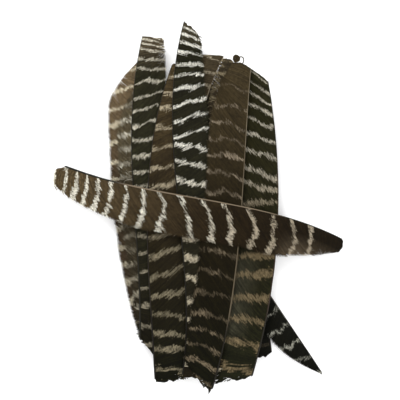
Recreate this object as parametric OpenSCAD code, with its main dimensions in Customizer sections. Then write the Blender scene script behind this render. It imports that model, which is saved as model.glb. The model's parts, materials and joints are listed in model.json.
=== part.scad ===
// A loose heap of barred wing-feather halves, ground and ready to be cut for quills and vanes.
// Each feather is a ground quill strip with its vane along one side. It lies flat in its own
// layer of the heap, tips towards +Y, and one feather lies across the top.

/* [Quill] */
// Width of the ground quill at its root
quill_w = 1.5; // [1:0.1:2]
// Share of that width left at the tip
quill_tip_share = 0.45; // [0.3:0.05:1]
// Height of the ground quill
quill_h = 1.8; // [1.4:0.1:2]

/* [Vane] */
// Thickness of a vane
vane_t = 0.7; // [0.4:0.1:0.8]
// Height of a vane's underside above the underside of its quill, above the lowest layer
vane_rise = 0.9; // [0:0.1:1.1]

/* [Heap] */
// Height from one layer of feathers to the next
layer_pitch = 2.8; // [2.6:0.1:4]
// Steps along each curved outline
outline_steps = 26; // [12:2:40]

/* [Crossing feather] */
// Distance from its root to the highest point of its bend over the heap
drape_top = 141; // [135:1:150]
// Radius of the bend towards its root
drape_root_r = 600; // [560:10:900]
// Radius of the bend towards its tip
drape_tip_r = 250; // [240:10:400]

/* [Hidden] */
// Columns of the feather table
NAME = 0;
ROOT_AT = 1;
HEADING = 2;
LENGTH = 3;
WIDTH = 4;
SIDE = 5;
BOW = 6;
ROOT_END = 7;
TIP_END = 8;
LAYER = 9;
COLOUR = 10;
DRAPED = 11;

tan_brown = [0.43, 0.37, 0.29];
mid_brown = [0.30, 0.25, 0.18];
dark_brown = [0.22, 0.19, 0.14];
near_black = [0.14, 0.14, 0.10];
horn = [0.66, 0.60, 0.50];

// name, place of the quill's root, heading clockwise from +Y, length, vane width,
// side of the vane (1 right of the heading, -1 left), bow of the quill near root and near tip,
// root end and tip end of the vane [share of the width, length it grows over, forward lean],
// layer, colour, and whether it bends down over the heap
FEATHERS = [
    ["under_middle", [-10, -122], 1, 236, 30, 1, [3, 3], [0.8, 10, 0], [0.3, 50, 0], 0, dark_brown, false],
    ["under_left", [-22, -106], -6, 212, 29, -1, [-5, -6], [0.8, 10, 0], [0.3, 50, 0], 0, mid_brown, false],
    ["under_right", [52, -112], 1, 196, 30, -1, [12, 12], [0.8, 10, 0], [0.3, 50, 0], 0, dark_brown, false],
    ["short_dark", [61, -126], -8, 215, 30, -1, [0, 0], [0.7, 8, -0.1], [0.3, 45, 0], 1, near_black, false],
    ["splayed", [-20, 42], 146, 222, 20.5, 1, [0, 0], [0.8, 10, 0], [0.05, 56, 0], 2, near_black, false],
    ["far_left", [-17, -116], -7, 239, 31, -1, [-17, -9], [0.7, 14, 0], [0.2, 43, 0], 3, tan_brown, false],
    ["far_right", [46, -134], 2, 226, 30, -1, [19, 18], [0.8, 10, 0], [0.3, 50, 0], 3, dark_brown, false],
    ["mottled", [-20, -118], -5, 227, 30, -1, [-6, -6], [0.7, 12, 0], [0.2, 50, 0], 4, mid_brown, false],
    ["square_end", [12, -112], 2, 238, 26, -1, [0, -40], [0.8, 10, 0], [0.9, 12, -0.4], 4, mid_brown, false],
    ["left_dark", [-49, -114], 0.4, 257, 30, 1, [2, -20], [0.7, 12, -1.1], [0.59, 80, 0.1], 5, near_black, false],
    ["frayed", [24, -114], 1, 236, 31, -1, [10, 10], [0.8, 10, 0], [0.3, 62, 0.2], 5, dark_brown, false],
    ["left_brown", [-36, -147], 3, 266, 31, 1, [-9, -28], [0.9, 8, 0], [0.2, 50, 0], 6, mid_brown, false],
    ["right_dark", [43.5, -144], 3.3, 249, 31, -1, [20, 19], [0.9, 8, -0.5], [0.62, 50, 0.95], 6, dark_brown, false],
    ["black_white", [-13, -142], 0.2, 297, 31, 1, [14, -27], [0.8, 10, 0], [0.58, 110, -0.5], 7, near_black, false],
    ["big_brown", [10, -154], 7, 270, 30.5, -1, [16, 3], [0.3, 12, 0.3], [0.54, 65, 0.25], 8, mid_brown, false],
    ["crossing", [-114.5, 33], 104.7, 244.5, 33, 1, [10, -17], [0.62, 90, 0.1], [0.35, 70, 0.1], 9, mid_brown, true]
];

// Places along an outline, from 0 at the root to 1 at the tip, closer together at both ends
STEPS = [for (i = [0:outline_steps]) (1 - cos(180 * i / outline_steps)) / 2];

// Longer than any feather, so that a cut this size takes in the whole of it
feather_reach = 2 * max([for (f = FEATHERS) f[LENGTH]]);

// The quill's inner edge, from the root (t = 0) to the tip (t = 1), in the feather's own frame
function quill_line(f, t) = [
    3 * t * (1 - t) * ((1 - t) * f[BOW][0] + t * f[BOW][1]),
    f[LENGTH] * t
];

// Unit direction of the quill's inner edge towards the tip
function along(f, t) =
    let (slope = 3 * ((1 - t) * (1 - 3 * t) * f[BOW][0] + t * (2 - 3 * t) * f[BOW][1]))
    [slope, f[LENGTH]] / norm([slope, f[LENGTH]]);

// Unit direction from the quill across its vane
function across(f, t) = f[SIDE] * [along(f, t)[1], -along(f, t)[0]];

// Share of the full vane width: growth that levels off over a length from one end of the feather
function end_share(end, distance) =
    let (left = 1 - min(1, distance / end[1]))
    end[0] + (1 - end[0]) * (1 - left * left);

function vane_width(f, t) = f[WIDTH]
    * end_share(f[ROOT_END], t * f[LENGTH])
    * end_share(f[TIP_END], (1 - t) * f[LENGTH]);

// The vane's free edge, which leans forward or back as the barbs do
function vane_edge(f, t) =
    let (lean = (1 - t) * f[ROOT_END][2] + t * f[TIP_END][2])
    quill_line(f, t) + vane_width(f, t) * (across(f, t) + lean * along(f, t));

function quill_back(f, t) =
    quill_line(f, t) - quill_w * (1 - t * (1 - quill_tip_share)) * across(f, t);

// A band between two edges of a feather, each given as a list of points from the root
module band(inner, outer, height) {
    linear_extrude(height)
        polygon(concat(inner, [for (i = [len(outer) - 1:-1:0]) outer[i]]));
}

// Half of a bent strip seen from its side, highest at the origin and falling away from there
module bent_half(radius, rise, thickness, direction) {
    intersection() {
        translate([0, -radius])
            difference() {
                circle(radius + rise + thickness, $fn = 720);
                circle(radius + rise, $fn = 720);
            }
        translate([direction > 0 ? 0 : -feather_reach, -feather_reach / 2])
            square(feather_reach);
    }
}

// The layer between two heights, bent down to both sides of its highest point
module bent_layer(rise, thickness) {
    translate([-feather_reach / 2, drape_top, 0])
        rotate([90, 0, 90])
            linear_extrude(feather_reach) {
                bent_half(drape_root_r, rise, thickness, -1);
                bent_half(drape_tip_r, rise, thickness, 1);
            }
}

// A strip of even thickness between two edges of a feather, at a height above its underside
module strip(f, inner, outer, rise, thickness) {
    if (f[DRAPED])
        intersection() {
            translate([0, 0, -feather_reach / 2]) band(inner, outer, feather_reach);
            bent_layer(rise, thickness);
        }
    else
        translate([0, 0, rise]) band(inner, outer, thickness);
}

// Puts a feather in its place in the heap
module placed(f) {
    translate([f[ROOT_AT][0], f[ROOT_AT][1], f[LAYER] * layer_pitch])
        rotate([0, 0, -f[HEADING]])
            children();
}

// The ground strip of quill that carries the vane
module quill(f) {
    inner = [for (t = STEPS) quill_line(f, t)];
    back = [for (t = STEPS) quill_back(f, t)];
    color(horn) placed(f) strip(f, inner, back, 0, quill_h);
}

// The web of barbs along one side of the quill. The lowest vanes lie flat on the surface.
module vane(f) {
    inner = [for (t = STEPS) quill_line(f, t)];
    edge = [for (t = STEPS) vane_edge(f, t)];
    rise = f[LAYER] == 0 ? 0 : vane_rise;
    color(f[COLOUR]) placed(f) strip(f, inner, edge, rise, vane_t);
}

for (f = FEATHERS) {
    quill(f);
    vane(f);
}
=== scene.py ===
"""A loose heap of barred wing-feather halves, each a ground quill strip with its web of barbs."""
import json
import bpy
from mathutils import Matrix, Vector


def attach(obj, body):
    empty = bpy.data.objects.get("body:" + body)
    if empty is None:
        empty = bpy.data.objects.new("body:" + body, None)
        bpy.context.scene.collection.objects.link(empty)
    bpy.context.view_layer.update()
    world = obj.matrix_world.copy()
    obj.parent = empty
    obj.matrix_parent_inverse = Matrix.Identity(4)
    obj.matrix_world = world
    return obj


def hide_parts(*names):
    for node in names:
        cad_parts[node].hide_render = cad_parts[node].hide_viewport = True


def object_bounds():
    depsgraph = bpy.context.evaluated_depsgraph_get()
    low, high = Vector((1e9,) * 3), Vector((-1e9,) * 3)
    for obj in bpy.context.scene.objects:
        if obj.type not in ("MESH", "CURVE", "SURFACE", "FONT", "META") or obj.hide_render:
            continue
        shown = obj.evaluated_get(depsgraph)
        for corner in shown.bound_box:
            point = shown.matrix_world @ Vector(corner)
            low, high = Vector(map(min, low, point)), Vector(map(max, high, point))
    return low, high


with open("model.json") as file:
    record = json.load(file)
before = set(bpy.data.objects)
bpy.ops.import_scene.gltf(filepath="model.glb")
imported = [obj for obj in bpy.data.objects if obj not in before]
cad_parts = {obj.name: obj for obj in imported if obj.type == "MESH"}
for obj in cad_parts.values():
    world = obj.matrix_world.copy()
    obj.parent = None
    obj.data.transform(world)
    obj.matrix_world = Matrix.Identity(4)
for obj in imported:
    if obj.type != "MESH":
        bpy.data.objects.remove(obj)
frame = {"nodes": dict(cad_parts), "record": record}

import zlib

import bmesh
import bpy
import numpy as np
from mathutils import Vector

MM = 0.001
CAD_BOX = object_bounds()
CAD_LOW, CAD_HIGH = (np.array(corner) for corner in CAD_BOX)
UP = np.array([0.0, 0.0, 1.0])

# ---------------- how each feather looks
# Colours are linear RGB. Lengths are in millimetres, and places are measured along the quill from
# its root. A share of the length is 0 at the root and 1 at the tip. A share across the vane is 0 at
# the quill and 1 at the free edge where the vane is widest.
#
# dark: colour of the ground at the root, in the middle and at the tip
# tip_from: share of the length from which the ground turns to its tip colour
# edge_sheen_and_tone: another ground colour near the free edge, from and to a share of the length; on
# right_dark it is a painted sheen
# pale: colour of the bars at the root and at the tip
# pale_from: shares of the length between which the first turns into the second
# pale_rim: a pale patch, from and to a share of the length, and from a share across the vane
# bars: where each pale bar leaves the quill and where it meets the vane's edge
# bar_bow: how far the bars arch towards the tip halfway across
# bar_width: half width of a bar at the quill and at the edge, near the root and near the tip
# bar_strength: how much of the ground the bars cover
# bar_fade: shares of the length between which the bars fade out
# brushed: how far single barbs carry a bar along with them
# frizz: how ragged the sides of the bars are
# wavy: how much the bars waver
# patchy: how much of its strength a bar loses in places
# horn: colour of the quill at its root, in its middle and at its tip
# bulge: how far the barbs at the root and at the tip stand out past the end of the quill
# torn: how ragged the vane is at the root and at the tip
# fray: how much the barbs have come apart
# reach: share of the outline's width that the barbs fill
# loose: number of barbs that curl over the web
#
# An edge sheen and tone, or a pale rim, from share 2 on is beyond the tip, and so there is none.
PLAIN_BARS = tuple((place, place + 2) for place in range(8, 300, 15))

DEFAULT_LOOK = {
    "dark": ((0.009, 0.007, 0.0029), (0.014, 0.011, 0.0043), (0.026, 0.019, 0.0079)),
    "tip_from": 0.55,
    "edge_tint": ((0.06, 0.05, 0.03), 2.0, 3.0),
    "pale": ((0.14, 0.11, 0.07), (0.18, 0.14, 0.1)),
    "pale_from": (0.35, 0.7),
    "pale_rim": (2.0, 3.0, 1.0),
    "bars": PLAIN_BARS,
    "bar_bow": 0,
    "bar_width": ((1.6, 2.2), (1.2, 1.6)),
    "bar_strength": 0.9,
    "bar_fade": (1.0, 1.1),
    "brushed": 1.0,
    "frizz": 3.0,
    "wavy": 0.5,
    "patchy": 0.2,
    "horn": ((0.01, 0.008, 0.005), (0.018, 0.014, 0.008), (0.02, 0.016, 0.009)),
    "bulge": (0.5, 1.5),
    "torn": (1.0, 0.3),
    "fray": 0.0,
    "reach": 1.0,
    "loose": 0,
}

LOOKS = {
    "short_dark": {
        "dark": ((0.003, 0.003, 0.0014), (0.005, 0.005, 0.0022), (0.006, 0.006, 0.0029)),
        "bar_strength": 0.25,
    },
    "splayed": {
        "dark": ((0.003, 0.003, 0.0014),) * 3,
        "pale": ((0.05, 0.048, 0.035), (0.46, 0.45, 0.37)),
        "bars": ((122, 122), (139, 139), (155, 157), (172, 171), (191, 187), (206, 200)),
        "bar_width": ((0.5, 1.0), (0.7, 1.3)),
        "bar_strength": 0.8,
        "patchy": 0.4,
        "horn": ((0.1, 0.095, 0.08), (0.1, 0.095, 0.08), (0.01, 0.01, 0.008)),
    },
    "far_left": {
        "dark": ((0.016, 0.011, 0.006), (0.04, 0.027, 0.015), (0.11, 0.078, 0.042)),
        "pale": ((0.4, 0.36, 0.26), (0.66, 0.6, 0.44)),
        "bars": (
            (14, 12), (28, 26), (42, 42), (58, 58), (73, 74), (87, 88), (102, 102), (117, 116),
            (133, 129), (148, 142), (163, 156), (179, 173), (193, 188), (207, 200), (222, 214),
        ),
        "bar_width": ((0.6, 2.0), (0.5, 1.8)),
        "brushed": 0.8,
    },
    "mottled": {
        "dark": ((0.014, 0.011, 0.006), (0.04, 0.032, 0.018), (0.075, 0.06, 0.034)),
        "pale": ((0.33, 0.297, 0.22), (0.575, 0.55, 0.45)),
        "bars": tuple((place, place - 4) for place in range(3, 227, 12)),
        "bar_width": ((1.8, 2.6), (1.9, 2.6)),
        "brushed": 1.1,
        "frizz": 5.5,
        "patchy": 0.7,
        "fray": 0.2,
        "loose": 90,
    },
    "square_end": {
        "dark": ((0.012, 0.0085, 0.0044), (0.022, 0.0162, 0.0079), (0.045, 0.0333, 0.0176)),
        "pale": ((0.264, 0.22, 0.154), (0.396, 0.341, 0.242)),
        "bars": tuple((place, place - 1) for place in range(16, 239, 11)),
        "bar_width": ((1.0, 1.2), (0.9, 1.0)),
        "bar_strength": 0.75,
        "horn": ((0.3, 0.25, 0.18), (0.32, 0.26, 0.18), (0.34, 0.28, 0.19)),
        "bulge": (0.5, 0),
    },
    "left_dark": {
        "dark": ((0.006, 0.005, 0.0018), (0.0135, 0.0125, 0.0055), (0.05, 0.038, 0.022)),
        "tip_from": 0.88,
        "pale": ((0.288, 0.252, 0.18), (0.567, 0.527, 0.419)),
        "pale_rim": (0.93, 0.985, 0.52),
        "bars": (
            (12, 12), (28, 28), (44, 44), (59, 59), (74, 75), (89, 90), (103, 105), (117, 120),
            (130, 134), (142, 147), (155, 162), (168, 176), (182, 191), (194, 208), (205, 219),
            (217, 230), (230, 236), (239, 243), (247, 248), (252, 252), (256, 255),
        ),
        "bar_width": ((1.7, 1.4), (1.0, 0.8)),
        "brushed": 0.8,
        "horn": ((0.012, 0.011, 0.006), (0.015, 0.014, 0.008), (0.03, 0.027, 0.016)),
        "bulge": (0.5, 0),
    },
    "frayed": {
        "dark": ((0.01, 0.0076, 0.0035), (0.016, 0.012, 0.006), (0.036, 0.027, 0.015)),
        "pale": ((0.22, 0.187, 0.121), (0.34, 0.28, 0.17)),
        "bars": tuple((place, place + 3) for place in range(6, 240, 11)),
        "bar_width": ((1.2, 1.4), (0.8, 0.8)),
        "fray": 0.2,
        "reach": 0.86,
        "loose": 380,
    },
    "left_brown": {
        "dark": ((0.0038, 0.0038, 0.001), (0.014, 0.0098, 0.0036), (0.042, 0.029, 0.0128)),
        "pale": ((0.23, 0.196, 0.127), (0.429, 0.364, 0.247)),
        "bars": (
            (10, 7), (27, 25), (40, 36), (57, 52), (70, 75), (85, 95), (103, 114), (118, 129),
            (133, 143), (148, 156), (163, 170), (178, 187), (195, 205), (213, 221), (229, 235),
            (243, 249), (257, 261),
        ),
        "bar_width": ((2.0, 1.7), (1.5, 1.4)),
        "bar_strength": 0.85,
        "torn": (1.4, 0.3),
    },
    "right_dark": {
        "dark": ((0.0076, 0.0078, 0.0027), (0.0115, 0.0102, 0.0036), (0.013, 0.012, 0.004)),
        # painted sheen: towards the free edge of the root half the ground turns lighter and greener,
        # as where the curved vane catches the light
        "edge_tint": ((0.032, 0.03, 0.019), 0.06, 0.45),
        "pale": ((0.175, 0.13, 0.07), (0.47, 0.43, 0.345)),
        "pale_from": (0.48, 0.8),
        "bars": (
            (4, 3), (24, 27), (46, 45), (69, 61), (89, 81), (105, 100), (121, 116), (136, 132),
            (149, 147), (158, 169), (168, 184), (186, 201), (199, 216), (211, 233), (222, 248),
            (231, 261), (240, 274),
        ),
        "bar_width": ((2.8, 3.0), (0.9, 1.2)),
        "horn": ((0.02, 0.018, 0.012), (0.045, 0.03, 0.02), (0.02, 0.018, 0.012)),
    },
    "black_white": {
        "dark": ((0.008, 0.006, 0.0024), (0.01, 0.0092, 0.004), (0.045, 0.037, 0.021)),
        "tip_from": 0.93,
        "pale": ((0.48, 0.42, 0.3), (0.739, 0.717, 0.627)),
        "bars": (
            (10, 8), (28, 26), (46, 44), (62, 59), (81, 77), (99, 94), (115, 109), (131, 125),
            (148, 143), (164, 156), (180, 171), (194, 188), (199, 208), (212, 223), (225, 236),
            (238, 249), (250, 258), (261, 266), (272, 274), (281, 279), (288, 284), (293, 287),
        ),
        "bar_width": ((2.3, 1.9), (1.2, 0.85)),
        "bar_strength": 1.0,
        "horn": ((0.008, 0.007, 0.004), (0.012, 0.011, 0.006), (0.012, 0.011, 0.006)),
        "bulge": (0.5, -0.5),
        "torn": (1.7, 1.2),
    },
    "big_brown": {
        "dark": ((0.0038, 0.0036, 0.0009), (0.0085, 0.006, 0.002), (0.034, 0.0245, 0.011)),
        "pale": ((0.207, 0.161, 0.103), (0.286, 0.231, 0.165)),
        "bars": (
            (16, 20), (30, 33), (43, 46), (58, 60), (76, 78), (94, 97), (112, 115), (130, 133),
            (147, 152), (162, 165), (178, 183), (193, 197), (206, 211), (219, 224), (235, 238),
            (252, 255), (264, 262),
        ),
        "bar_bow": 3,
        "bar_width": ((1.5, 1.6), (0.9, 0.9)),
        "bar_strength": 0.7,
        "bar_fade": (0.9, 0.99),
        "brushed": 0.8,
        "frizz": 3.6,
        "wavy": 0.6,
        "patchy": 0.6,
        "horn": ((0.012, 0.01, 0.006), (0.13, 0.105, 0.067), (0.18, 0.15, 0.1)),
        "bulge": (0, 2.5),
        "torn": (2.4, 0.4),
    },
    "crossing": {
        "dark": ((0.056, 0.0389, 0.0184), (0.0125, 0.0078, 0.003), (0.0065, 0.0043, 0.0016)),
        "edge_tint": ((0.07, 0.053, 0.033), 0.76, 1.12),
        "pale": ((0.792, 0.768, 0.648), (0.425, 0.362, 0.263)),
        "bars": (
            (2, 4), (12, 12), (21, 22), (31, 32), (42, 43), (55, 57), (69, 72), (85, 89), (102, 117),
            (119, 135), (139, 151), (161, 168), (180, 185), (197, 205), (214, 221), (233, 238),
        ),
        "bar_bow": 3.5,
        "bar_width": ((1.2, 2.2), (1.3, 2.0)),
        "bar_fade": (0.9, 0.95),
        "brushed": 0.8,
        # painted shade: the quill is dark at its root and at its tip, where it lay in shadow, and
        # pale between
        "horn": ((0.012, 0.012, 0.009), (0.24, 0.19, 0.13), (0.01, 0.008, 0.005)),
        "bulge": (6.5, 2.5),
    },
}


def look_of(name):
    return {**DEFAULT_LOOK, **LOOKS.get(name, {})}


def seeded(name):
    """A random generator that gives one feather the same numbers on every run."""
    return np.random.default_rng(zlib.crc32(name.encode()))


# ---------------- shapes read from the CAD strips
# CAD points closer together than this are the same point
SAME_POINT = 0.02 * MM
# Three faces meet above a corner of a strip and three below, but only two along an edge
FACES_AT_CORNER = 6


def distances(some, others):
    """How far each point of one list is from each of the other, seen from above."""
    return np.hypot(*(some[:, None, :2] - others[None, :, :2]).transpose(2, 0, 1))


def corner_points(node):
    """The corners of a CAD strip seen from above: x, y and the height of its underside."""
    mesh = frame["nodes"][node].data
    points = np.empty(len(mesh.vertices) * 3)
    mesh.vertices.foreach_get("co", points)
    points = points.reshape(-1, 3)
    corners = []
    left = np.ones(len(points), bool)
    for i in range(len(points)):
        if not left[i]:
            continue
        here = left & (np.hypot(*(points[:, :2] - points[i, :2]).T) < SAME_POINT)
        left &= ~here
        if here.sum() >= FACES_AT_CORNER:
            corners.append([*points[i, :2], points[here, 2].min()])
    return np.array(corners)


def read_feather(name):
    """The quill's inner edge, its back and the vane's free edge, each from root to tip, as x, y and
    the height of the bed that the feather lies on."""
    quill = corner_points(name + "_quill")
    vane = corner_points(name + "_vane")
    apart = distances(quill, vane)
    shared = apart.min(axis=1) < SAME_POINT
    spine, back = quill[shared], quill[~shared]
    edge = vane[apart.min(axis=0) >= SAME_POINT]
    gaps = distances(spine, spine)
    one_end, other_end = np.unravel_index(gaps.argmax(), gaps.shape)
    way = spine[other_end, :2] - spine[one_end, :2]
    spine, back, edge = (row[(row[:, :2] @ way).argsort()] for row in (spine, back, edge))
    # the quill is widest at its root
    widths = np.hypot(*(back[:, :2] - spine[:, :2]).T)
    if widths[0] < widths[-1]:
        spine, back, edge = spine[::-1], back[::-1], edge[::-1]
    rise = vane[:, 2].min() - quill[:, 2].min()
    return {"spine": spine, "back": back, "edge": edge - rise * UP}


def measure(points):
    """Length along a row of points at each of them, seen from above."""
    steps = np.hypot(*np.diff(points[:, :2], axis=0).T)
    return np.concatenate([[0], np.cumsum(steps)])


def follow(at, points, where):
    """Smooth curve through points known at the lengths `at`, read at the lengths `where`."""
    slope = np.gradient(points, at, axis=0)
    where = np.clip(where, at[0], at[-1])
    i = np.clip(np.searchsorted(at, where, side="right") - 1, 0, len(at) - 2)
    h = (at[i + 1] - at[i])[..., None]
    u = ((where - at[i])[..., None]) / h
    return (
        points[i] * (1 + 2 * u) * (1 - u) ** 2
        + slope[i] * h * u * (1 - u) ** 2
        + points[i + 1] * u * u * (3 - 2 * u)
        + slope[i + 1] * h * u * u * (u - 1)
    )


def wander(rng, at, scale, size):
    """Smooth random values at the lengths `at`, changing over about `scale`."""
    knots = np.arange(-scale, at.max() + 3 * scale, scale)
    values = rng.normal(0, size, len(knots))
    return follow(knots, values[:, None], at)[..., 0]


def unit(vectors):
    """The same directions, each with a length of one."""
    return vectors / np.linalg.norm(vectors, axis=-1, keepdims=True)


# ---------------- mesh building
def new_mesh_object(name, points, faces, values=None, smooth=False):
    """A mesh object with named number values stored on its points."""
    mesh = bpy.data.meshes.new(name)
    mesh.from_pydata(points.tolist(), [], faces.tolist())
    mesh.update()
    for key, value in (values or {}).items():
        layer = mesh.attributes.new(key, "FLOAT", "POINT")
        layer.data.foreach_set("value", np.ascontiguousarray(value, dtype=np.float32))
    mesh.polygons.foreach_set("use_smooth", [smooth] * len(mesh.polygons))
    piece = bpy.data.objects.new(name, mesh)
    bpy.context.scene.collection.objects.link(piece)
    return piece


def tube_faces(rows, sides):
    """Quads of one tube of `rows` rings of `sides` points, and the cap at each end."""
    ring = np.arange(sides)
    after = (ring + 1) % sides
    quads = []
    for k in range(rows - 1):
        a, b = k * sides, (k + 1) * sides
        quads += np.stack([a + ring, a + after, b + after, b + ring], axis=1).tolist()
    first = ring[::-1].tolist()
    last = ((rows - 1) * sides + ring).tolist()
    return quads, [first, last]


STRAND_SIDES = 4


def barb_strands(centre, side, up, half_width, ridge, belly):
    """Points and faces of many thin closed strands. centre, side and up hold a point or direction for
    every strand and row, the others a size."""
    strands, rows = centre.shape[:2]
    half_width, ridge, belly = (np.asarray(v)[..., None] for v in (half_width, ridge, belly))
    ring = (-side * half_width, -up * belly, side * half_width, up * ridge)
    corners = np.stack([centre + corner for corner in ring], axis=2)
    quads, caps = tube_faces(rows, STRAND_SIDES)
    offsets = np.arange(strands)[:, None, None] * rows * STRAND_SIDES
    faces = np.array(quads + caps)[None] + offsets
    # strands that run the other way round are turned, so that every face looks outward
    handed = (np.cross(np.gradient(centre, axis=1), side) * up).sum(axis=(1, 2))
    faces = np.where(handed[:, None, None] < 0, faces[..., ::-1], faces)
    return corners.reshape(-1, 3), faces.reshape(-1, STRAND_SIDES)


def free_strands(paths, half_width, values):
    """Thin closed strands along paths that turn freely. `paths` holds each strand's points in order,
    and `values` what the material reads on each strand."""
    run = unit(np.gradient(paths, axis=1))
    side = np.cross(run, UP)
    side /= np.linalg.norm(side, axis=2, keepdims=True) + 1e-9
    up = np.cross(side, run)
    count, rows = paths.shape[:2]
    along = np.linspace(0, 1, rows)
    taper = np.clip((1.02 - along) / 0.3, 0.2, 1)[None, :] * np.ones((count, rows))
    thickness = 0.7 * half_width * taper
    points, faces = barb_strands(paths, side, up, half_width * taper, thickness, thickness)
    spread = {
        key: np.repeat(np.broadcast_to(value, (count,)), rows * STRAND_SIDES)
        for key, value in values.items()
    }
    return points, faces, spread


def join_parts(parts):
    """One set of points, faces and values from several."""
    starts = np.cumsum([0] + [len(points) for points, _, _ in parts])
    points = np.concatenate([part[0] for part in parts])
    faces = np.concatenate([part[1] + start for part, start in zip(parts, starts)])
    values = {key: np.concatenate([part[2][key] for part in parts]) for key in parts[0][2]}
    return points, faces, values


# ---------------- the quill strip
QUILL_ROWS = 140
QUILL_TOP = 1.75 * MM
# Share of its height that the quill loses towards its tip
QUILL_THINNING = 0.25
# Its section, as shares of the way from the vane to the back and of the height
QUILL_SECTION = np.array(
    [
        (0.04, 0.05), (0.96, 0.05), (1.0, 0.35), (0.95, 0.72),
        (0.72, 0.95), (0.38, 1.0), (0.1, 0.9), (0.0, 0.6),
    ]
)
# The slant of the knife cut at the root, and over what length the slant is made up for
CUT_SLANT = 2.2 * MM
CUT_LENGTH = 2.5 * MM


def quill_piece(name, feather):
    """The ground half of the rachis: flat where it was ground, rounded on top, cut at the root."""
    rng = seeded(name + "_quill")
    at = measure(feather["spine"])
    s = np.linspace(0, at[-1], QUILL_ROWS)
    inner = follow(at, feather["spine"], s)
    back = follow(at, feather["back"], s)
    share = s / at[-1]
    height = QUILL_TOP * (1 - QUILL_THINNING * share)
    height *= 1 + wander(rng, s, 22 * MM, 0.03)
    rough = 1 + wander(rng, s, 9 * MM, 0.04)[:, None]
    to_back, level = QUILL_SECTION.T
    rings = inner[:, None, :] + (back - inner)[:, None, :] * (to_back * rough)[..., None]
    rings[..., 2] += level * height[:, None]
    sides = len(QUILL_SECTION)
    cut = np.linspace(CUT_SLANT, 0, sides) * np.exp(-s / CUT_LENGTH)[:, None]
    rings += cut[..., None] * unit(inner[1] - inner[0])
    quads, caps = tube_faces(QUILL_ROWS, sides)
    values = {"along": np.repeat(share, sides), "around": np.tile(to_back, QUILL_ROWS)}
    piece = new_mesh_object(
        name + "_quill_strip", rings.reshape(-1, 3), np.array(quads), values, smooth=True
    )
    close_ends(piece, caps)
    return piece


def close_ends(piece, caps):
    """Adds the two flat end faces to a tube."""
    work = bmesh.new()
    work.from_mesh(piece.data)
    work.verts.ensure_lookup_table()
    for cap in caps:
        face = work.faces.new([work.verts[i] for i in cap])
        face.smooth = False
    bmesh.ops.recalc_face_normals(work, faces=work.faces)
    work.to_mesh(piece.data)
    work.free()


# ---------------- the web of barbs
# In these functions an array has a row for each barb, and a column for each point along it.
BARB_PITCH = 0.66 * MM
BARB_ROWS = 15
# Width of a barb, in spacings of the barbs
OVERLAP = 1.36
# How far a barb is swept towards the tip, in widths of the vane
SWEEP = 0.85
# How far the barbs reach, as a share of the outline's width
FRINGE = 1.03
# The sweep grows and fades over these shares of the length
SWEEP_GROWS, SWEEP_FADES = 0.16, 0.24
# A barb starts this far inside the quill
ROOTED = 0.45 * MM
# Length over which the wear of the root end and of the tip end dies out
ROOT_WEAR, TIP_WEAR = 7 * MM, 5 * MM
# Length over which an end of the vane stands out past the end of the quill
BULGE_LENGTH = 10 * MM
# Thickness of a barb above and below its middle line
BARB_RIDGE, BARB_BELLY = 0.12 * MM, 0.22 * MM
# Height of the web above its bed at the quill and at the free edge, and the height of its arch
AT_QUILL, AT_EDGE, ARCH = 1.15 * MM, 0.45 * MM, 1.25 * MM


def arch_height(across):
    """Height of the web above its bed: fixed to the quill, arched, and drooping at the free edge."""
    droop = (AT_EDGE - AT_QUILL) * np.clip(across, 0, 1.05) ** 1.5
    return AT_QUILL + droop + ARCH * np.sin(np.pi * np.clip(across, 0, 1) ** 0.8)


def bar_count(place, across, look):
    """How many bars lie between the root and each place, so that every bar sits at a whole number,
    and the spacing of the bars there. Both follow the slant of the bars on either side."""
    before, beyond = 4, 40
    quill_end, edge_end = np.array(look["bars"], dtype=float).T * MM
    reach = np.clip(across, 0, 1.1)[..., None]
    rows = quill_end + (edge_end - quill_end) * reach
    rows = rows + look["bar_bow"] * MM * 4 * reach * (1 - reach)
    first_gap = rows[..., 1:2] - rows[..., 0:1]
    last_gap = rows[..., -1:] - rows[..., -2:-1]
    rows = np.concatenate(
        [rows[..., :1] - before * first_gap, rows, rows[..., -1:] + beyond * last_gap], axis=-1
    )
    bars = len(quill_end)
    number = np.concatenate([[-before], np.arange(bars), [bars - 1 + beyond]])
    below = np.clip((rows <= place[..., None]).sum(axis=-1) - 1, 0, len(number) - 2)
    low = np.take_along_axis(rows, below[..., None], axis=-1)[..., 0]
    high = np.take_along_axis(rows, below[..., None] + 1, axis=-1)[..., 0]
    gap = (high - low) / (number[below + 1] - number[below])
    return number[below] + (place - low) / gap, gap


def clumps(rng, at, smallest, largest):
    """The middle of the clump that each barb belongs to, how tight the clump is, and its number."""
    cuts = [0.0]
    while cuts[-1] < at.max():
        cuts.append(cuts[-1] + rng.uniform(smallest, largest))
    cuts = np.array(cuts)
    which = np.searchsorted(cuts, at, side="right") - 1
    middle = (cuts[which] + cuts[np.minimum(which + 1, len(cuts) - 1)]) / 2
    tight = rng.random(len(cuts)) ** 2.5
    return middle, tight[which], which


def jagged(rng, at):
    """A torn outline: how far it stands out or in at the lengths `at`."""
    return wander(rng, at, 3.2 * MM, 0.6 * MM) + wander(rng, at, 8 * MM, 0.7 * MM)


def barb_starts(rng, length):
    """Where each barb leaves the quill."""
    count = int(length / BARB_PITCH)
    even = (np.arange(count) + 0.5) * length / count
    return even + rng.normal(0, 0.06 * BARB_PITCH, count)


def barb_sweep(rng, starts, length, full_width):
    """How far the end of each barb is swept towards the tip. The barbs at both ends aren't, because
    they follow the cut ends of the vane."""
    share = starts / length
    fade = np.clip(share / SWEEP_GROWS, 0, 1) * np.clip((1 - share) / SWEEP_FADES, 0, 1)
    fade = fade * fade * (3 - 2 * fade)
    return SWEEP * full_width * fade * (1 + 0.05 * wander(rng, starts, 30 * MM, 1))


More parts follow.
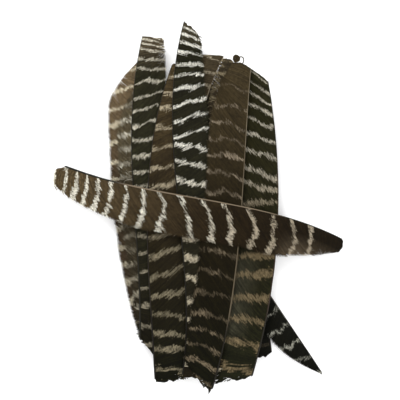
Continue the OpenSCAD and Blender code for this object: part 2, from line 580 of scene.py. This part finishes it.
# How much the reach of a clump and of a barb varies, and what fraying adds to it
CLUMP_VARIES, CLUMP_FRAYS = 0.010, 0.05
BARB_VARIES, BARB_FRAYS = 0.007, 0.06
# What wear adds to the reach of a barb at least and at most
BROKEN = (-0.22, 0.03)
# The shortest and the longest reach, and what fraying adds to the longest
SHORTEST, LONGEST, LONGEST_FRAYS = 0.45, 1.05, 0.2


def barb_reach(rng, clump, wear, look):
    """Share of the outline's width that each barb reaches: one length for each clump, a little more
    or less for each barb, and broken off where the vane is worn."""
    fray = look["fray"]
    of_clump = rng.normal(0, CLUMP_VARIES + CLUMP_FRAYS * fray, clump.max() + 1)[clump]
    of_barb = rng.normal(0, BARB_VARIES + BARB_FRAYS * fray, len(clump))
    broken = wear * rng.uniform(*BROKEN, len(clump))
    reach = 1 + of_clump + of_barb + broken
    return look["reach"] * FRINGE * np.clip(reach, SHORTEST, LONGEST + LONGEST_FRAYS * fray)


# How far the end of a barb is drawn to the middle of its clump: always, in a tight one, by fraying
PULL, PULL_TIGHT, PULL_FRAYS = 0.02, 0.045, 0.4
# How far it goes astray along the quill: always, by fraying, and where the root is torn
ASTRAY, ASTRAY_FRAYS, ASTRAY_TORN = 0.12 * MM, 1.3 * MM, 0.12 * MM


def barb_courses(rng, starts, sweep, clump_middle, tight, root_wear, across, look):
    """Place along the quill of each point of each barb: swept, drawn into its clump, and astray. The
    higher a power of `across`, the nearer to the free edge a barb starts to bend."""
    fray = look["fray"]
    count = len(starts)
    along = starts[:, None] + sweep[:, None] * across**1.12
    pull = PULL + PULL_TIGHT * tight + PULL_FRAYS * fray * rng.random(count)
    along = along + (clump_middle - starts)[:, None] * pull[:, None] * across**2.4
    astray = rng.normal(0, ASTRAY + ASTRAY_FRAYS * fray, count)
    along = along + astray[:, None] * across**2
    bent = root_wear * rng.normal(0, ASTRAY_TORN, count)
    return along + bent[:, None] * across**1.5


def barb_ends(rng, starts, length, across, full_width, wear, look):
    """How far the ends of the vane stand out along the quill: rounded, and jagged where torn."""
    root_bulge, tip_bulge = look["bulge"]
    rounded = np.sqrt(np.sin(np.pi * np.clip(across, 0, 1)))
    stand_out = tip_bulge * np.exp(-(length - starts) / BULGE_LENGTH)
    stand_out = stand_out - root_bulge * np.exp(-starts / BULGE_LENGTH)
    root_notch, tip_notch = (
        jagged(rng, across * full_width) * at_end[:, None] for at_end in wear
    )
    return stand_out[:, None] * MM * rounded + (root_notch + tip_notch)


# Height of the barbs above the bed at least and at most
LIFT_RANGE = (0.30 * MM, 2.3 * MM)
# How uneven the free edge is, how far single barbs stand out of the web, and what fraying adds
UNEVEN, RAISED, RAISED_FRAYS = 0.10 * MM, 0.03 * MM, 0.35 * MM


def barb_lift(rng, starts, across, look):
    """Height of each point of each barb above the bed."""
    uneven = wander(rng, starts, 16 * MM, UNEVEN)
    loose = rng.normal(0, RAISED + RAISED_FRAYS * look["fray"], len(starts))
    lift = arch_height(across) + uneven[:, None] * across + loose[:, None] * across**2
    return np.clip(lift, *LIFT_RANGE)


# The least spacing of the barbs, the most at the ends of the vane and the most elsewhere, in pitches
SPACING_LEAST, SPACING_AT_ENDS, SPACING_MOST = 0.3, 1.2, 4.5
# Distance from the ends over which the most spacing grows by one pitch
SPACING_GROWS = 1.5 * MM
# Share of its width that a frayed barb loses at the free edge
FRAYED_THINNING = 0.45


def barb_widths(centre, side, run, starts, length, spread, across, look):
    """Half width of each barb, and how far it has tapered. Each barb is wide enough to lap over the
    next one, however the two run beside each other."""
    to_edge = np.cross(side, UP)
    step = np.gradient(centre, axis=0)
    slant = (run * side).sum(axis=2) / (run * to_edge).sum(axis=2)
    spacing = np.abs((step * side).sum(axis=2) - (step * to_edge).sum(axis=2) * slant)
    # barbs lie closer together at the ends of the vane
    to_end = np.minimum(starts, length - starts)[:, None]
    widest = np.clip(SPACING_AT_ENDS + to_end / SPACING_GROWS, SPACING_AT_ENDS, SPACING_MOST)
    spacing = np.clip(spacing, SPACING_LEAST * BARB_PITCH, BARB_PITCH * widest)
    taper = np.clip((1.02 - spread) / 0.10, 0.12, 1)[None, :]
    thin = 1 - FRAYED_THINNING * look["fray"] * across
    return 0.5 * OVERLAP * spacing * taper * thin, taper


def web(name, feather, look):
    """The web: every barb is its own thin strand, side by side, hooked into clumps and torn apart
    between them, longer or shorter at the edge, and swept towards the tip."""
    rng = seeded(name + "_vane")
    at = measure(feather["spine"])
    length = at[-1]
    starts = barb_starts(rng, length)
    outline = follow(at, feather["edge"], starts) - follow(at, feather["spine"], starts)
    full_width = np.linalg.norm(outline, axis=1).max()
    sweep = barb_sweep(rng, starts, length, full_width)
    clump_middle, tight, clump = clumps(rng, starts, 4 * MM, 24 * MM)
    torn_root, torn_tip = look["torn"]
    root_wear = np.exp(-starts / ROOT_WEAR) * torn_root
    tip_wear = np.exp(-(length - starts) / TIP_WEAR) * torn_tip
    reach = barb_reach(rng, clump, root_wear + tip_wear, look)

    spread = np.linspace(0, 1, BARB_ROWS) ** 0.92
    inside = ROOTED / full_width
    from_quill = spread[None, :] * (reach[:, None] + inside) - inside
    across = np.clip(from_quill, 0, None)
    along = barb_courses(rng, starts, sweep, clump_middle, tight, root_wear, across, look)
    along = np.clip(along, 0, length)
    spine = follow(at, feather["spine"], along)
    edge = follow(at, feather["edge"], along)
    # side points towards the tip, along the quill
    ahead = follow(at, feather["spine"], np.clip(along + MM, 0, length))
    behind = follow(at, feather["spine"], np.clip(along - MM, 0, length))
    side = unit(ahead - behind)
    ends = barb_ends(rng, starts, length, across, full_width, (root_wear, tip_wear), look)
    flat = spine + (edge - spine) * from_quill[..., None] + side * ends[..., None]
    centre = flat + UP * barb_lift(rng, starts, across, look)[..., None]

    run = np.gradient(centre, axis=1)
    half_width, taper = barb_widths(centre, side, run, starts, length, spread, across, look)
    up = np.cross(side, run)
    up = unit(up * np.sign(up[..., 2:3]))
    # like roof tiles, the barbs lean a little on each other
    lean = rng.normal(0.08, 0.03, len(starts))[:, None, None]
    points, faces = barb_strands(
        centre, side - up * lean, up, half_width, BARB_RIDGE * taper, BARB_BELLY * taper
    )

    # where each point has come to lie, along the quill and across the vane
    offset = centre - spine
    place = along + (offset * side).sum(axis=2)
    share_across = np.abs(np.cross(offset, side)[..., 2]) / full_width
    phase, gap = bar_count(place, share_across, look)
    stray = rng.normal(0, 0.05, len(starts)) + wander(rng, starts, 2.4 * MM, 0.035)
    phase = phase + look["brushed"] * stray[:, None] + wander(rng, starts, 14 * MM, 0.03)[:, None]
    values = {
        "phase": phase,
        "gap": gap / MM,
        "across": share_across,
        "along": place / length,
        "barb": np.repeat(rng.random(len(starts)), BARB_ROWS),
    }
    return points, faces, {key: np.repeat(v.ravel(), STRAND_SIDES) for key, v in values.items()}


# ---------------- broken, loose and curled barbs
# Pairs of numbers here are the least and the most of a random draw. Sizes are in millimetres.
#
# Spacing of the bars that the material takes for a barb that lies anyhow
LOOSE_GAP = 9.0
CURL_GAP = 12.0
# Broken barbs: share across the vane, length, direction in radians, and how far they bend
STUB_ACROSS, STUB_LENGTH = (0.05, 0.97), (1.2, 3.0)
STUB_HEADING, STUB_BEND = (-0.4, 1.1), (-0.5, 0.5)
# The share of each that lies under the web, how far its end drops, half its width, and its tone
STUB_HIDDEN, STUB_DROP, STUB_HALF_WIDTH, STUB_TONE = 0.6, 0.4, 0.3, (0.2, 0.8)
# Loose barbs: where they start, as a share of the length and across the vane, and how much further
# across they run, but not past a limit
LOOSE_START, LOOSE_FROM, LOOSE_RUN, LOOSE_LIMIT = (0.45, 0.99), (0.1, 0.6), (0.3, 0.7), 0.86
# How far back along the quill they run at most, and over what range
LOOSE_BACK, LOOSE_RANGE = 4, (0, 14)
# Turns of their curls, radius, height above the bed with its swing and scatter, and half their width
LOOSE_TURNS, LOOSE_RADIUS = (0.6, 2.2), (0.8, 2.4)
LOOSE_HEIGHT, LOOSE_SWING, LOOSE_SCATTER, LOOSE_HALF_WIDTH = 1.3, 0.45, (-0.2, 0.3), 0.22
LOOSE_PALE_SHARE = 0.4


def draw(rng, limits, count):
    """A random number for each barb, one in each row."""
    return rng.uniform(*limits, count)[:, None]


def torn_barbs(name, feather, count):
    """Broken barbs that stick out where the root end of the vane was torn."""
    rng = seeded(name + "_torn")
    root, edge = feather["spine"][0], feather["edge"][0]
    v = np.linspace(0, 1, 9)[None, :]
    share = draw(rng, STUB_ACROSS, count)
    start = root + (edge - root) * share[..., None]
    start = start + UP * arch_height(share)[..., None]
    outward = unit(feather["spine"][0] - feather["spine"][1])
    sideways = unit(edge - root)
    size = draw(rng, STUB_LENGTH, count) * MM
    turn = draw(rng, STUB_HEADING, count) + draw(rng, STUB_BEND, count) * v
    reach = size * (v - STUB_HIDDEN)
    paths = start + outward * (reach * np.cos(turn))[..., None]
    paths = paths + sideways * (reach * np.sin(turn))[..., None]
    paths[..., 2] -= STUB_DROP * MM * v
    values = {
        "phase": rng.uniform(*STUB_TONE, count),
        "gap": LOOSE_GAP,
        "across": share[:, 0],
        "along": 0.0,
        "barb": rng.random(count),
    }
    return free_strands(paths, STUB_HALF_WIDTH * MM, values)


def loose_barbs(name, feather, count):
    """Barbs that have come unhooked and curl over the web of a worn feather."""
    rng = seeded(name + "_loose")
    at = measure(feather["spine"])
    length = at[-1]
    v = np.linspace(0, 1, 30)[None, :]
    s0 = draw(rng, LOOSE_START, count) * length
    from_v = draw(rng, LOOSE_FROM, count)
    to_v = np.clip(from_v + draw(rng, LOOSE_RUN, count), 0, LOOSE_LIMIT)
    across = from_v + (to_v - from_v) * v
    s = np.clip(s0 + (draw(rng, LOOSE_RANGE, count) - LOOSE_BACK) * MM * v, 0, length)
    spine = follow(at, feather["spine"], s)
    edge = follow(at, feather["edge"], s)
    paths = spine + (edge - spine) * across[..., None]
    turn = 2 * np.pi * (draw(rng, LOOSE_TURNS, count) * v + rng.random(count)[:, None])
    size = draw(rng, LOOSE_RADIUS, count) * MM
    height = LOOSE_HEIGHT + LOOSE_SWING * np.sin(turn) + draw(rng, LOOSE_SCATTER, count)
    paths[..., 0] += size * np.cos(turn) * v
    paths[..., 1] += size * np.sin(turn) * v
    paths[..., 2] += height * MM
    values = {
        "phase": np.where(rng.random(count) < LOOSE_PALE_SHARE, 0.0, 0.5),
        "gap": LOOSE_GAP,
        "across": 0.5,
        "along": s0[:, 0] / length,
        "barb": rng.random(count),
    }
    return free_strands(paths, LOOSE_HALF_WIDTH * MM, values)


# The ball: its barbs, where its middle is (towards the quill, forward and up from the corner of the
# vane), its radius, and the turns and radius of its barbs
BALL_BARBS, BALL_PLACE, BALL_RADIUS = 90, (3.0, 4.9, 1.3), 3.6
BALL_TURNS, BALL_RADII, BALL_HEIGHTS = (0.7, 1.4), (0.5, 3.3), (-0.9, 1.0)
# The loop: its barbs, where its middle is (towards the quill and forward from the ball's), its first
# angle and how far it turns in degrees, its radius, and how far each of these varies
LOOP_BARBS, LOOP_PLACE, LOOP_HEIGHTS = 7, (3.9, -0.6), (-0.5, 0.5)
LOOP_FROM, LOOP_TURN, LOOP_FROM_VARIES = 120, 235, 4
LOOP_RADIUS, LOOP_RADIUS_VARIES, LOOP_STRETCH = 2.7, 0.22, 1.25
CURL_HALF_WIDTH = 0.27


def tip_curl(name, feather):
    """The last barbs of a worn tip, rolled into a small ball, with one bundle looping beside it."""
    rng = seeded(name + "_curl")
    corner = feather["edge"][-1]
    to_quill = unit(feather["spine"][-1] - corner)
    forward = np.cross(UP, to_quill)
    forward *= np.sign(forward[1])
    inward, onward, upward = BALL_PLACE
    centre = corner + (inward * to_quill + onward * forward + upward * UP) * MM
    u = np.linspace(0, 1, 34)[None, :]

    def placed(inward, onward, height):
        flat = centre + to_quill * inward[..., None] + forward * onward[..., None]
        return flat + UP * height[..., None]

    first = draw(rng, (0, 2 * np.pi), BALL_BARBS)
    turns = draw(rng, BALL_TURNS, BALL_BARBS)
    radius = (draw(rng, BALL_RADII, BALL_BARBS) * (1 - 0.6 * u)) * MM
    angle = first + 2 * np.pi * turns * u
    dome = np.sqrt(np.clip(1 - (radius / (BALL_RADIUS * MM)) ** 2, 0, 1))
    height = dome * draw(rng, BALL_HEIGHTS, BALL_BARBS) * MM
    ball = placed(radius * np.cos(angle), radius * np.sin(angle), height)

    varied = rng.normal(0, LOOP_FROM_VARIES, LOOP_BARBS)[:, None]
    angle = np.radians(LOOP_FROM - LOOP_TURN * u + varied)
    radius = (LOOP_RADIUS + rng.normal(0, LOOP_RADIUS_VARIES, LOOP_BARBS)[:, None]) * MM
    height = draw(rng, LOOP_HEIGHTS, LOOP_BARBS) * MM * np.ones_like(u)
    inward, onward = (place * MM for place in LOOP_PLACE)
    onward = onward + LOOP_STRETCH * radius * np.sin(angle)
    loop = placed(inward + radius * np.cos(angle), onward, height)

    # neighbouring barbs of the ball differ in tone, the loop is dark
    values = {
        "phase": np.concatenate([rng.uniform(0, 1, BALL_BARBS), np.full(LOOP_BARBS, 0.5)]),
        "gap": CURL_GAP,
        "across": 0.5,
        "along": 1.0,
        "barb": rng.random(BALL_BARBS + LOOP_BARBS),
    }
    return free_strands(np.concatenate([ball, loop]), CURL_HALF_WIDTH * MM, values)


# Broken barbs at a root end that is torn by 1
STUBS = 16


def vane_piece(name, feather, look):
    stubs = int(STUBS * look["torn"][0])
    parts = [web(name, feather, look), torn_barbs(name, feather, stubs)]
    if look["loose"]:
        parts.append(loose_barbs(name, feather, look["loose"]))
    return new_mesh_object(name + "_vane_web", *join_parts(parts))


# ---------------- materials
class Nodes:
    """Small helper that adds nodes to one material and links them."""

    def __init__(self, name):
        self.material = bpy.data.materials.new(name)
        self.material.use_nodes = True
        self.tree = self.material.node_tree
        self.shader = self.tree.nodes["Principled BSDF"]

    def plug(self, value, socket):
        if isinstance(value, bpy.types.NodeSocket):
            self.tree.links.new(value, socket)
        elif isinstance(value, (tuple, list)) and len(value) == 3 and socket.type == "RGBA":
            socket.default_value = (*value, 1)
        else:
            socket.default_value = value

    def add(self, kind, **settings):
        node = self.tree.nodes.new(kind)
        for key, value in settings.items():
            setattr(node, key, value)
        return node

    def value(self, attribute):
        """The number that the mesh stores under this name."""
        return self.add("ShaderNodeAttribute", attribute_name=attribute).outputs["Fac"]

    def math(self, operation, *numbers):
        node = self.add("ShaderNodeMath", operation=operation)
        for value, socket in zip(numbers, node.inputs):
            self.plug(value, socket)
        return node.outputs[0]

    def times(self, a, b):
        return self.math("MULTIPLY", a, b)

    def swing(self, noise, size, middle=1.0):
        """Noise from 0 to 1 turned into a swing about another value."""
        return self.math("MULTIPLY_ADD", self.math("SUBTRACT", noise, 0.5), size, middle)

    def vector(self, x, y, z):
        node = self.add("ShaderNodeCombineXYZ")
        for value, socket in zip((x, y, z), node.inputs):
            self.plug(value, socket)
        return node.outputs[0]

    def noise(self, place, scale=1.0, detail=2.0, roughness=0.5):
        node = self.add("ShaderNodeTexNoise")
        self.plug(place, node.inputs["Vector"])
        self.plug(scale, node.inputs["Scale"])
        self.plug(detail, node.inputs["Detail"])
        self.plug(roughness, node.inputs["Roughness"])
        return node.outputs["Fac"]

    def range(self, value, low, high, to_low=0.0, to_high=1.0, smooth=True):
        kind = "SMOOTHSTEP" if smooth else "LINEAR"
        node = self.add("ShaderNodeMapRange", interpolation_type=kind)
        for item, socket in zip((value, low, high, to_low, to_high), node.inputs):
            self.plug(item, socket)
        return node.outputs["Result"]

    def band(self, value, start, end, soft):
        """1 between two values and 0 beyond them, with soft ends that lie inside."""
        rising = self.range(value, start, start + soft)
        return self.times(rising, self.range(value, end - soft, end, 1.0, 0.0))

    def mix(self, share, a, b, kind="MIX"):
        node = self.add("ShaderNodeMix", data_type="RGBA", blend_type=kind)
        self.plug(share, node.inputs["Factor"])
        self.plug(a, node.inputs["A"])
        self.plug(b, node.inputs["B"])
        return node.outputs["Result"]

    def shaded(self, colour, shade):
        return self.mix(1.0, colour, shade, "MULTIPLY")

    def bump(self, height, strength, distance):
        node = self.add("ShaderNodeBump")
        self.plug(strength, node.inputs["Strength"])
        self.plug(distance, node.inputs["Distance"])
        self.plug(height, node.inputs["Height"])
        return node.outputs["Normal"]

    def finish(self, **inputs):
        for key, value in inputs.items():
            self.plug(value, self.shader.inputs[key.replace("_", " ")])
        return self.material


# In these functions `web` holds what the mesh stores on its points: phase (bars counted from the
# root), gap (spacing of the bars in millimetres), across, along, and barb (a number of its own).
WEB_VALUES = ("phase", "gap", "across", "along", "barb")
# How far the streaks and speckles along the barbs carry a bar with them, in spacings of the bars
STREAK_SHIFT, SPECKLE_SHIFT = 0.10, 0.34
# The widest half of a bar, in spacings of the bars
WIDEST_BAR = 0.17
# A bar is full up to the first share of its half width, and gone from the second
BAR_FULL, BAR_GONE = 0.82, 1.14
# Softness of the ends of the edge sheen and tone and of a pale rim, as a share of the length
TINT_SOFT, RIM_SOFT = 0.1, 0.01
# Softness of a pale rim as a share across the vane
RIM_SIDE_SOFT = 0.03
# Shares of the length where the ground leaves its root colour and has its middle and tip colours
ROOT_TO, MIDDLE_AT, TIP_AT = 0.05, 0.55, 0.98


def barb_noise(n, web, by_barb, by_across, scale, detail, roughness=0.5):
    """Noise that differs from barb to barb and runs along each of them."""
    x, y = n.times(web["barb"], by_barb), n.times(web["across"], by_across)
    return n.noise(n.vector(x, y, web["along"]), scale, detail, roughness)


def bar_noise(n, web, phase, by_phase, by_across, own, detail=2.0):
    """Noise that differs from bar to bar and across the vane."""
    x, y = n.times(phase, by_phase), n.times(web["across"], by_across)
    return n.noise(n.vector(x, y, own), detail=detail)


def bar_half_width(n, look, web, bloom):
    """Half width of the bars in millimetres, from the quill to the edge and from root to tip."""
    at_root, at_tip = (
        n.math("MULTIPLY_ADD", web["across"], edge_width - quill_width, quill_width)
        for quill_width, edge_width in look["bar_width"]
    )
    to_tip = n.range(web["along"], 0.35, 0.9)
    width = n.range(to_tip, 0.0, 1.0, at_root, at_tip, smooth=False)
    width = n.math("MINIMUM", width, n.times(web["gap"], WIDEST_BAR))
    return n.times(width, n.math("MULTIPLY_ADD", bloom, 1.5, 0.25))


def bar_cover(n, look, web, own, streak):
    """How much of the ground the pale bars cover, from 0 to 1."""
    fleck = barb_noise(n, web, 61.0, 8.0, 4.0, 2.0)
    speckle = barb_noise(n, web, 83.0, 34.0, 3.0, 2.0)
    wave = bar_noise(n, web, web["phase"], 1.4, 3.0, own, detail=1.0)
    bloom = bar_noise(n, web, web["phase"], 1.0, 2.4, own + 0.5)
    phase = n.swing(wave, look["wavy"], web["phase"])
    frizz = bar_noise(n, web, phase, 10.0, 24.0, own)

    # distance in millimetres from the middle of the nearest bar
    phase = n.swing(streak, STREAK_SHIFT * look["brushed"], phase)
    phase = n.swing(speckle, SPECKLE_SHIFT * look["brushed"], phase)
    off_middle = n.math("ABSOLUTE", n.math("SUBTRACT", n.math("FRACT", phase), 0.5))
    away = n.times(n.math("SUBTRACT", 0.5, off_middle), web["gap"])
    away = n.swing(frizz, look["frizz"], away)

    width = bar_half_width(n, look, web, bloom)
    cover = n.range(away, n.times(width, BAR_FULL), n.times(width, BAR_GONE), 1.0, 0.0)
    flecked = n.range(fleck, 0.30, 0.55, 0.35, 1.0)
    frizzed = n.range(frizz, 0.42, 0.60, 1.0, 0.65)
    along_barb = n.math("ADD", streak, n.times(web["barb"], 0.25))
    brushed = n.range(along_barb, 0.42, 0.72, 0.45, 1.0)
    patchy = n.range(bloom, 0.44, 0.58, 1 - look["patchy"], 1.0)
    strength = n.range(web["along"], *look["bar_fade"], look["bar_strength"], 0.0)
    for factor in (flecked, frizzed, brushed, patchy, strength):
        cover = n.times(cover, factor)
    return cover


def ground_colour(n, look, web, streak):
    """Colour between the bars, which turns from root to tip and varies from barb to barb."""
    along, across = web["along"], web["across"]
    dark_root, dark_middle, dark_tip = look["dark"]
    dark = n.mix(n.range(along, ROOT_TO, MIDDLE_AT, smooth=False), dark_root, dark_middle)
    dark = n.mix(n.range(along, look["tip_from"], TIP_AT, smooth=False), dark, dark_tip)
    patch = n.noise(n.vector(n.times(along, 16.0), n.times(across, 2.0), 0.0))
    tone = n.swing(streak, 2.2)
    tone = n.times(tone, n.swing(patch, 0.7))
    tone = n.times(tone, n.swing(web["barb"], 0.60))
    shade = n.vector(tone, tone, tone)
    # near the free edge the ground turns to a second colour: a painted sheen on right_dark, a lighter
    # tone towards the tip on crossing
    tint, tint_from, tint_to = look["edge_tint"]
    tinted = n.band(along, tint_from, tint_to, TINT_SOFT)
    tinted = n.times(tinted, n.range(across, 0.25, 0.85, smooth=False))
    return n.mix(tinted, n.shaded(dark, shade), n.shaded(tint, shade))


def vane_material(name, look):
    """Barred web: pale bars across dark barbs, brushed out along each barb."""
    n = Nodes(name + "_web")
    own = zlib.crc32(name.encode()) % 97
    web = {key: n.value(key) for key in WEB_VALUES}
    streak = barb_noise(n, web, 97.0, 5.0, 3.0, 3.0, 0.6)
    pale = n.mix(n.range(web["along"], *look["pale_from"]), *look["pale"])
    ground = ground_colour(n, look, web, streak)
    colour = n.mix(bar_cover(n, look, web, own, streak), ground, pale)
    rim_from, rim_to, rim_edge = look["pale_rim"]
    in_rim = n.band(web["along"], rim_from, rim_to + RIM_SOFT, RIM_SOFT)
    in_rim = n.times(in_rim, n.range(web["across"], rim_edge, rim_edge + RIM_SIDE_SOFT))
    # barbules: fine ribs across every barb
    ribs = barb_noise(n, web, 30.0, 260.0, 1.0, 1.0)
    return n.finish(
        Base_Color=n.mix(in_rim, colour, pale),
        Roughness=n.range(streak, 0.2, 0.8, 0.50, 0.68),
        Specular_IOR_Level=0.05,
        Normal=n.bump(ribs, 0.25, 0.05 * MM),
    )


# Colour that horn is multiplied with in its streaks and clouds, and on its sides as painted shade
DEEP_HORN_AND_SIDE_SHADE = (0.45, 0.42, 0.38)
# Shares of the length between which the horn turns to its middle colour, and then to its tip colour
HORN_TO_MIDDLE, HORN_TO_TIP = (0.17, 0.26), (0.72, 0.80)


def horn_material(name, tints):
    """Ground quill: horn with fine lengthwise streaks and clouds, pale along its top, with painted
    shade on its sides.
    """
    n = Nodes(name + "_horn")
    along, around = n.value("along"), n.value("around")
    lengthwise = n.vector(n.times(along, 30.0), n.times(around, 5.0), 0.0)
    streak = n.noise(lengthwise, 1.5, 4.0, 0.6)
    cloud = n.noise(n.vector(n.times(along, 9.0), around, 3.0))
    ridge = n.band(around, 0.10, 0.80, 0.20)
    root, middle, tip = tints
    colour = n.mix(n.range(along, *HORN_TO_MIDDLE), root, middle)
    colour = n.mix(n.range(along, *HORN_TO_TIP), colour, tip)
    deep_horn_and_side_shade = n.shaded(colour, DEEP_HORN_AND_SIDE_SHADE)
    colour = n.mix(n.range(streak, 0.25, 0.75, 0.0, 0.8), colour, deep_horn_and_side_shade)
    colour = n.mix(n.range(cloud, 0.45, 0.8, 0.0, 0.6), colour, deep_horn_and_side_shade)
    # painted shade: away from the pale top, the sides of the quill are darkened as if in shadow
    colour = n.mix(n.range(ridge, 0.0, 1.0, 0.75, 0.0), colour, deep_horn_and_side_shade)
    return n.finish(
        Base_Color=colour,
        Roughness=n.range(streak, 0.2, 0.8, 0.35, 0.55),
        Specular_IOR_Level=0.12,
        Normal=n.bump(streak, 0.2, 0.08 * MM),
    )


# The table is a softly lit white one, which takes most of the shadows away
TABLE_GLOW = 0.25
TABLE_WHITES = ((0.86,) * 3, (0.90,) * 3)


def paper_material():
    n = Nodes("pale_ground")
    where = n.add("ShaderNodeTexCoord").outputs["Object"]
    grain = n.noise(where, 900.0, 3.0)
    return n.finish(
        Base_Color=n.mix(n.range(grain, 0.3, 0.7), *TABLE_WHITES),
        Roughness=0.9,
        Specular_IOR_Level=0.1,
        Emission_Color=(1, 1, 1),
        Emission_Strength=TABLE_GLOW,
    )


# ---------------- building every feather
def build_feather(name, body):
    feather = read_feather(name)
    look = look_of(name)

    quill = quill_piece(name, feather)
    quill.data.materials.append(horn_material(name, look["horn"]))
    vane = vane_piece(name, feather, look)
    vane.data.materials.append(vane_material(name, look))
    for piece, node in ((quill, name + "_quill"), (vane, name + "_vane")):
        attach(piece, body)
        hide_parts(node)
    if name == "big_brown":
        curl = new_mesh_object(name + "_tip_curl", *tip_curl(name, feather))
        curl.data.materials.append(vane.data.materials[0])
        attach(curl, body)


# ---------------- stage, light and camera
HALF_STAGE = 3.0
STUDIO_STRENGTH = 1.1
# What the camera sees across, how far above the stage it is, and how far off the heap's middle
VIEW_WIDTH = 0.338
VIEW_HEIGHT = 1.1
VIEW_SHIFT = (-0.0002, 0.0043)
SENSOR_WIDTH = 36


def stage():
    corners = HALF_STAGE * np.array([(-1, -1, 0), (1, -1, 0), (1, 1, 0), (-1, 1, 0)])
    floor = new_mesh_object("ground", corners, np.array([[0, 1, 2, 3]]))
    floor.data.materials.append(paper_material())


def area_light(name, place, target, size, power):
    lamp = bpy.data.lights.new(name, "AREA")
    lamp.shape = "DISK"
    lamp.size = size
    lamp.energy = power
    holder = bpy.data.objects.new(name, lamp)
    bpy.context.scene.collection.objects.link(holder)
    holder.location = place
    holder.rotation_euler = (Vector(target) - Vector(place)).to_track_quat("-Z", "Y").to_euler()


def lights():
    middle = (CAD_LOW + CAD_HIGH) / 2
    world = bpy.data.worlds.new("studio")
    world.use_nodes = True
    background = world.node_tree.nodes["Background"]
    background.inputs["Color"].default_value = (1, 1, 1, 1)
    background.inputs["Strength"].default_value = STUDIO_STRENGTH
    bpy.context.scene.world = world
    area_light("key", middle + [-0.30, 0.75, 1.0], middle, size=0.5, power=8)
    area_light("fill", middle + [0.7, -0.5, 1.1], middle, size=1.2, power=4)


def camera():
    """Straight down on to the heap, with its top edge up."""
    middle = (CAD_LOW + CAD_HIGH) / 2
    lens = bpy.data.cameras.new("camera")
    lens.sensor_width = SENSOR_WIDTH
    lens.lens = SENSOR_WIDTH * VIEW_HEIGHT / VIEW_WIDTH
    eye = bpy.data.objects.new("camera", lens)
    bpy.context.scene.collection.objects.link(eye)
    shift_x, shift_y = VIEW_SHIFT
    eye.location = (middle[0] + shift_x, middle[1] + shift_y, VIEW_HEIGHT + CAD_HIGH[2] / 2)
    bpy.context.scene.camera = eye


bpy.context.scene.view_settings.view_transform = "Standard"
stage()
lights()
camera()
for feather_name in frame["record"]["behaviour"]["bodies"]:
    build_feather(feather_name, feather_name)
